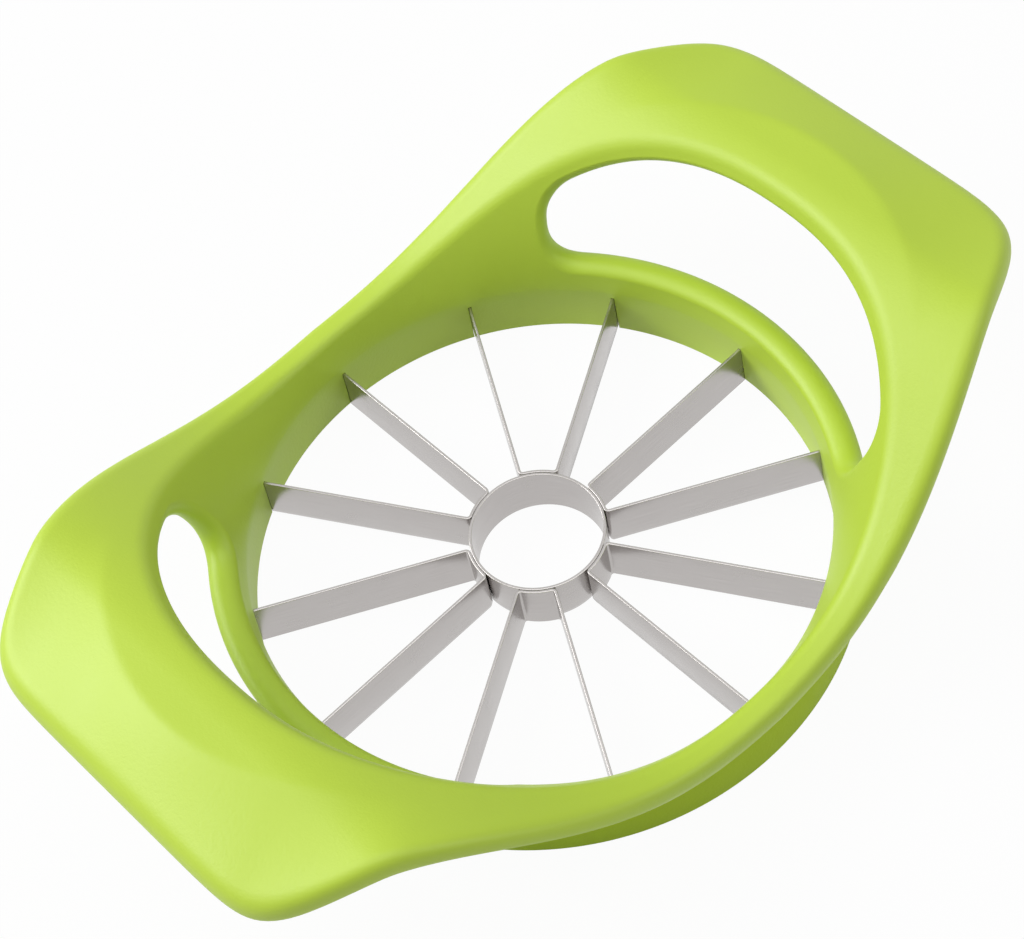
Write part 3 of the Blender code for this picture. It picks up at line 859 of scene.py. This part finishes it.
    def build(self, material: Material) -> None:
        """Mirror the quarter, weld it, cut the slots and put the frame in place.

        Args:
            material: its finish.
        """
        points, faces = self.quarter_points()
        points[np.isclose(points[:, 0], 0.0, atol=self.weld), 0] = 0.0
        all_points, all_faces = [], []
        for flip_x, flip_y in ((1, 1), (-1, 1), (-1, -1), (1, -1)):
            turned = faces if flip_x * flip_y > 0 else faces[:, ::-1]
            all_faces.append(turned + len(all_points) * len(points))
            all_points.append(points * (flip_x, flip_y, 1.0))
        mesh = mesh_from("frame_shell", np.concatenate(all_points), np.concatenate(all_faces).tolist())
        weld_mesh(mesh, self.weld)
        piece = link("frame_uncut", mesh)
        cutter = self.slot_cutter()
        cut = piece.modifiers.new("slots", "BOOLEAN")
        cut.operation = "DIFFERENCE"
        cut.solver = "EXACT"
        cut.object = cutter
        graph = bpy.context.evaluated_depsgraph_get()
        finished = bpy.data.meshes.new_from_object(piece.evaluated_get(graph))
        bpy.data.objects.remove(piece)
        bpy.data.objects.remove(cutter)
        finished.name = "frame"
        shade(finished)
        place("moulded_frame", finished, self.node, material)


def weld_mesh(mesh: Mesh, distance: float) -> None:
    """Merge the points of a mesh that coincide, drop faces without area and turn all faces outwards.

    Args:
        mesh: the mesh.
        distance: merge distance.
    """
    build = bmesh.new()
    build.from_mesh(mesh)
    bmesh.ops.remove_doubles(build, verts=build.verts, dist=distance)
    bmesh.ops.dissolve_degenerate(build, edges=build.edges, dist=distance)
    bmesh.ops.recalc_face_normals(build, faces=build.faces)
    build.to_mesh(mesh)
    build.free()


def finish_strip(mesh: Mesh, along: np.ndarray, across: np.ndarray) -> None:
    """Give a mesh a UV map of metres along and across its strip, weld it and shade it.

    Args:
        mesh: the mesh.
        along: distance along the strip for each point.
        across: distance across it for each point.
    """
    corners = np.empty(len(mesh.loops), dtype=np.int32)
    mesh.loops.foreach_get("vertex_index", corners)
    layer = mesh.uv_layers.new(name="strip")
    values = np.stack([along[corners], across[corners]], axis=1)
    layer.uv.foreach_set("vector", values.astype(np.float32).ravel())
    weld_mesh(mesh, FINE_WELD)
    shade(mesh)


def turned_mesh(name: str, profile: np.ndarray, steps: int) -> Mesh:
    """Turn a closed profile round Z: the point (r, z) goes to (r cos a, r sin a, z).

    Args:
        name: name of the mesh.
        profile: points of shape (n, 2), in order round the section.
        steps: number of steps round the axis.

    Returns:
        The closed mesh, with a strip UV map round the axis.
    """
    angle = np.linspace(0.0, 2.0 * math.pi, steps + 1)[:-1]
    grid = polar(profile[:, :1], angle[None, :], profile[:, 1:])
    faces = grid_faces(len(profile), steps, wrap_rows=True, wrap_columns=True)
    mesh = mesh_from(name, grid.reshape(-1, 3), faces.tolist())
    along = np.broadcast_to(angle * profile[:, 0].max(), grid.shape[:2])
    across = np.broadcast_to(profile[:, 1:], grid.shape[:2])
    finish_strip(mesh, along.ravel(), across.ravel())
    return mesh


@dataclass
class ClampRing:
    """Moulded ring pressed on from below: an upright wall, and a foot that closes the blade channel."""

    plan: BladePlan
    node: str = "blade_clamp_ring"
    wall: float = 1.4 * MM
    rounding: float = 0.5 * MM
    rounding_steps: int = 6
    steps: int = 320
    height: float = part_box("blade_clamp_ring")[1].z

    def build(self, material: Material) -> None:
        """Turn the ring's profile, whose edges are quarter rounds.

        Args:
            material: its finish.
        """
        foot = self.plan.channel_radius + self.plan.fit_gap
        skirt = self.plan.skirt_radius
        inside = skirt - self.wall
        profile = np.concatenate([
            rolled_top(inside, skirt, self.height, self.rounding / 2.0),
            arc((skirt - self.rounding, self.rounding), self.rounding, 0.0, -QUARTER_TURN,
                self.rounding_steps)[0],
            [(foot, 0.0), (foot, self.plan.clamp_foot), (inside, self.plan.clamp_foot)]])
        mesh = turned_mesh("clamp_ring", profile, self.steps)
        place("clamp_ring", mesh, self.node, material)


@dataclass
class CoreRing:
    """Steel tube that cuts the core out, with a rolled upper edge and a lower edge ground from outside."""

    plan: BladePlan
    node: str = "core_ring"
    steps: int = 240

    def build(self, material: Material) -> None:
        """Turn the tube's profile.

        Args:
            material: its finish.
        """
        plan = self.plan
        outside = plan.core_radius
        inside = outside - plan.core_wall
        profile = np.concatenate([
            rolled_top(inside, outside, plan.blade_top, plan.rolled_edge),
            [(outside, plan.blade_lift + plan.ground_depth),
             (inside + plan.cutting_edge, plan.blade_lift),
             (inside, plan.blade_lift)]])
        mesh = turned_mesh("core_cutter", profile, self.steps)
        place("core_cutter", mesh, self.node, material)


@dataclass
class BladeStrip:
    """Bent steel strip: it hugs the core ring, runs out as two blades and ends in two tails."""

    plan: BladePlan
    index: int
    core_bend: float = 0.7 * MM
    core_gap: float = 0.07 * MM
    tail_bend: float = 0.8 * MM
    tail_length: float = 8.0 * MM
    tail_gap: float = 0.4 * MM
    grain_shift: float = 300.0 * MM
    bend_steps: int = 10
    wrap_steps: int = 14
    arm_steps: int = 16

    @property
    def node(self) -> str:
        """Node that the strip stands for."""
        return f"blade_strip_{self.index + 1}"

    def centre_line(self) -> tuple[np.ndarray, np.ndarray]:
        """Centre line: an arc on the core ring, then on each side a bend, an arm, a bend and a tail.

        Returns:
            Points and the unit normals that point to the outer side of the pair, whose middle line is +X.
        """
        plan = self.plan
        half = plan.strip_thickness / 2.0
        arm = plan.arm_angle
        steps = self.bend_steps
        wrap = plan.core_radius + self.core_gap + half
        along = np.array([math.cos(arm), math.sin(arm)])
        side = np.array([-math.sin(arm), math.cos(arm)])
        reach = math.sqrt((wrap + self.core_bend) ** 2 - self.core_bend ** 2)
        centre = along * reach - side * self.core_bend
        touch = math.atan2(centre[1], centre[0])
        wrapped, wrapped_out = arc((0.0, 0.0), wrap, 0.0, touch, self.wrap_steps)
        bent, bent_in = arc(centre, self.core_bend, touch - math.pi, arm - 3.0 * QUARTER_TURN, steps)
        tail_radius = plan.channel_radius + self.tail_gap + half
        tail_reach = math.sqrt((tail_radius - self.tail_bend) ** 2 - self.tail_bend ** 2)
        tail_centre = along * tail_reach + side * self.tail_bend
        tail_start = math.atan2(tail_centre[1], tail_centre[0])
        curved, curved_out = arc(tail_centre, self.tail_bend, arm - QUARTER_TURN, tail_start, steps)
        tail_end = tail_start + self.tail_length / tail_radius
        tail, tail_out = arc((0.0, 0.0), tail_radius, tail_start, tail_end, steps)
        arm_points = mix(bent[-1], curved[0], shares(self.arm_steps)[1:-1])
        arm_normals = np.broadcast_to(curved_out[0], arm_points.shape)
        points = np.concatenate([wrapped, bent[1:], arm_points, curved, tail[1:]])
        normals = np.concatenate([wrapped_out, -bent_in[1:], arm_normals, curved_out, tail_out[1:]])
        mirror = np.array([1.0, -1.0])
        return (np.concatenate([points[:0:-1] * mirror, points]),
                np.concatenate([normals[:0:-1] * mirror, normals]))

    def build(self, material: Material) -> None:
        """Carry the strip's section along its centre line.

        The section has rolled upper edges, and its lower edge is ground on the side that faces away from the
        pair. Past the bore wall the section stops short of the clamp ring's foot.

        Args:
            material: its finish.
        """
        plan = self.plan
        points, normals = self.centre_line()
        half = plan.strip_thickness / 2.0
        ground = plan.blade_lift + plan.ground_depth
        upper = rolled_top(-half, half, plan.blade_top, plan.rolled_edge)[::-1]
        offset = np.concatenate([upper[:, 0], [-half, half - plan.cutting_edge, half]])
        height = np.concatenate([upper[:, 1], [ground, plan.blade_lift, plan.blade_lift]])

        # A doubled section stands where the lower edge steps up over the clamp ring's foot
        radius = np.hypot(points[:, 0], points[:, 1])
        outside = np.flatnonzero(radius > plan.channel_radius + TOUCH)
        first_half = outside[outside < len(points) // 2].max()
        second_half = outside[outside > len(points) // 2].min()
        order = np.sort(np.concatenate([np.arange(len(points)), [first_half, second_half]]))
        raised = np.zeros(len(order), dtype=bool)
        raised[:first_half + 1] = True
        raised[second_half + 2:] = True
        points, normals = points[order], normals[order]
        step_up = plan.clamp_foot + plan.fit_gap
        heights = np.where(raised[:, None], np.maximum(height, step_up), height)
        offsets = np.where(raised[:, None] & (height <= ground + TOUCH), np.sign(offset) * half, offset)
        flat = points[:, None, :] + normals[:, None, :] * offsets[..., None]

        # The first pair's middle line stands 45 degrees from +X, and each next one a sixth of a turn on
        turn = (3 + 4 * self.index) * plan.arm_angle
        spun = flat @ np.array([[math.cos(turn), math.sin(turn)], [-math.sin(turn), math.cos(turn)]])
        grid = np.concatenate([spun, heights[..., None]], axis=-1)
        rows, columns = grid.shape[:2]
        faces = grid_faces(rows, columns, wrap_columns=True).tolist()
        faces += [list(range(columns)), list(range((rows - 1) * columns, rows * columns))]
        mesh = mesh_from(f"strip_{self.index + 1}", grid.reshape(-1, 3), faces)
        steps = np.hypot(*np.diff(points, axis=0).T)
        along = np.concatenate([[0.0], np.cumsum(steps)]) + self.index * self.grain_shift
        finish_strip(mesh, np.repeat(along, columns), (heights + offsets).ravel())
        place(f"blade_{self.index + 1}", mesh, self.node, material)


@dataclass
class Studio:
    """White sweep, soft lamps and the photograph's camera."""

    image_width: int = 1024
    focal_pixels: float = 2568.28
    sensor_width: float = 36.0
    elevation: float = math.radians(55.7185)
    azimuth: float = math.radians(32.8286)
    roll: float = math.radians(-13.3548)
    camera_place: tuple = (-0.12985, -0.19798, 0.37665)
    floor_half: float = 1.6
    floor_drop: float = 0.02 * MM
    floor_colour: str = "#E6E6E6"
    floor_glow: float = 0.96
    fill_light: float = 0.20

    # Name, place, width in metres and power in watts of each lamp
    lamps: tuple = (("key_lamp", (-0.50, 0.75, 0.75), 0.8, 9.0),
                    ("top_lamp", (0.00, 0.00, 1.10), 0.8, 2.5),
                    ("near_lamp", (0.60, -0.70, 0.70), 0.8, 2.0),
                    ("side_lamp", (-0.75, 0.25, 0.75), 0.8, 1.2))

    def camera(self) -> None:
        """Set the camera by its three turns: round Z, up from the floor, and round its own axis."""
        lens = bpy.data.cameras.new("camera")
        lens.sensor_fit = "HORIZONTAL"
        lens.sensor_width = self.sensor_width
        lens.lens = self.focal_pixels * self.sensor_width / self.image_width
        camera = link("camera", lens)
        turn = Matrix.Rotation(-self.azimuth, 4, "Z")
        pitch = Matrix.Rotation(QUARTER_TURN - self.elevation, 4, "X")
        roll = Matrix.Rotation(self.roll, 4, "Z")
        camera.matrix_world = Matrix.Translation(self.camera_place) @ turn @ pitch @ roll
        bpy.context.scene.camera = camera

    def light(self) -> None:
        """Hang the soft lamps, each turned to the slicer."""
        for name, spot, size, power in self.lamps:
            lamp = bpy.data.lights.new(name, "AREA")
            lamp.shape = "DISK"
            lamp.size = size
            lamp.energy = power
            holder = link(name, lamp)
            holder.location = spot
            holder.rotation_euler = (-Vector(spot)).to_track_quat("-Z", "Y").to_euler()

    def surroundings(self) -> None:
        """Make the world: white where it is seen or mirrored, and a plain fill for the rest."""
        world = bpy.data.worlds.new("studio")
        world.use_nodes = True
        bpy.context.scene.world = world
        tree = world.node_tree
        seen = self.seen(tree)
        strength = add_node(tree, "ShaderNodeMapRange", {"Value": seen, "To Min": self.fill_light})
        fill(tree, tree.nodes["Background"], {
            "Color": (1.0, 1.0, 1.0, 1.0), "Strength": strength.outputs["Result"]})

    def seen(self, tree: NodeTree) -> NodeSocket:
        """Value of 1 for rays from the camera, off a gloss or through a clear piece, and 0 for the rest."""
        rays = add_node(tree, "ShaderNodeLightPath").outputs
        value = rays["Is Camera Ray"]
        for kind in ("Is Transmission Ray", "Is Glossy Ray"):
            larger = add_node(tree, "ShaderNodeMath", {0: value, 1: rays[kind]}, operation="MAXIMUM")
            value = larger.outputs[0]
        return value

    def floor(self) -> None:
        """Lay a white floor that keeps the slicer's soft shadow."""
        half = self.floor_half
        corners = ((-half, -half), (half, -half), (half, half), (-half, half))
        mesh = mesh_from("floor", np.array([(x, y, -self.floor_drop) for x, y in corners]), [(0, 1, 2, 3)])
        material, tree = new_material("white_sweep")
        tree.nodes.remove(tree.nodes["Principled BSDF"])
        matt = add_node(tree, "ShaderNodeBsdfDiffuse", {"Color": linear(self.floor_colour)})
        glow = add_node(tree, "ShaderNodeEmission")
        seen = self.seen(tree)
        share = add_node(tree, "ShaderNodeMath", {0: seen, 1: self.floor_glow}, operation="MULTIPLY")
        lift = add_node(tree, "ShaderNodeMixShader", {
            "Fac": share.outputs[0], 1: matt.outputs[0], 2: glow.outputs[0]})
        fill(tree, tree.nodes["Material Output"], {"Surface": lift.outputs[0]})
        mesh.materials.append(material)
        floor = link("floor", mesh)

    def build(self) -> None:
        """Set up the whole studio."""
        self.floor()
        self.surroundings()
        self.light()
        self.camera()
        bpy.context.scene.view_settings.view_transform = "Standard"


def main() -> None:
    """Build the slicer and its studio."""
    logging.basicConfig(level=logging.INFO, format="%(name)s: %(message)s")
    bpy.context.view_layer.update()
    plan = BladePlan()
    plastic = MouldedAbs().material()
    # The clamp ring is the same lime ABS as the frame. This copy has a more saturated lime with less blue,
    # and less gloss, as painted shade: it stands in for the deep green, without white reflection, that the
    # shadow under the rail gives the ring.
    matt_painted_shade_plastic = MouldedAbs(name="moulded_abs_matt_painted_shade", colour="#C3E032", drift_colour="#BEDB2E",
                              roughness=0.62, specular=0.20).material()
    steel = BrushedStainless().material()
    Studio().build()
    MouldedFrame(plan).build(plastic)
    ClampRing(plan).build(matt_painted_shade_plastic)
    CoreRing(plan).build(steel)
    for index in range(plan.strip_count):
        BladeStrip(plan, index).build(steel)


if __name__ == "__main__":
    main()
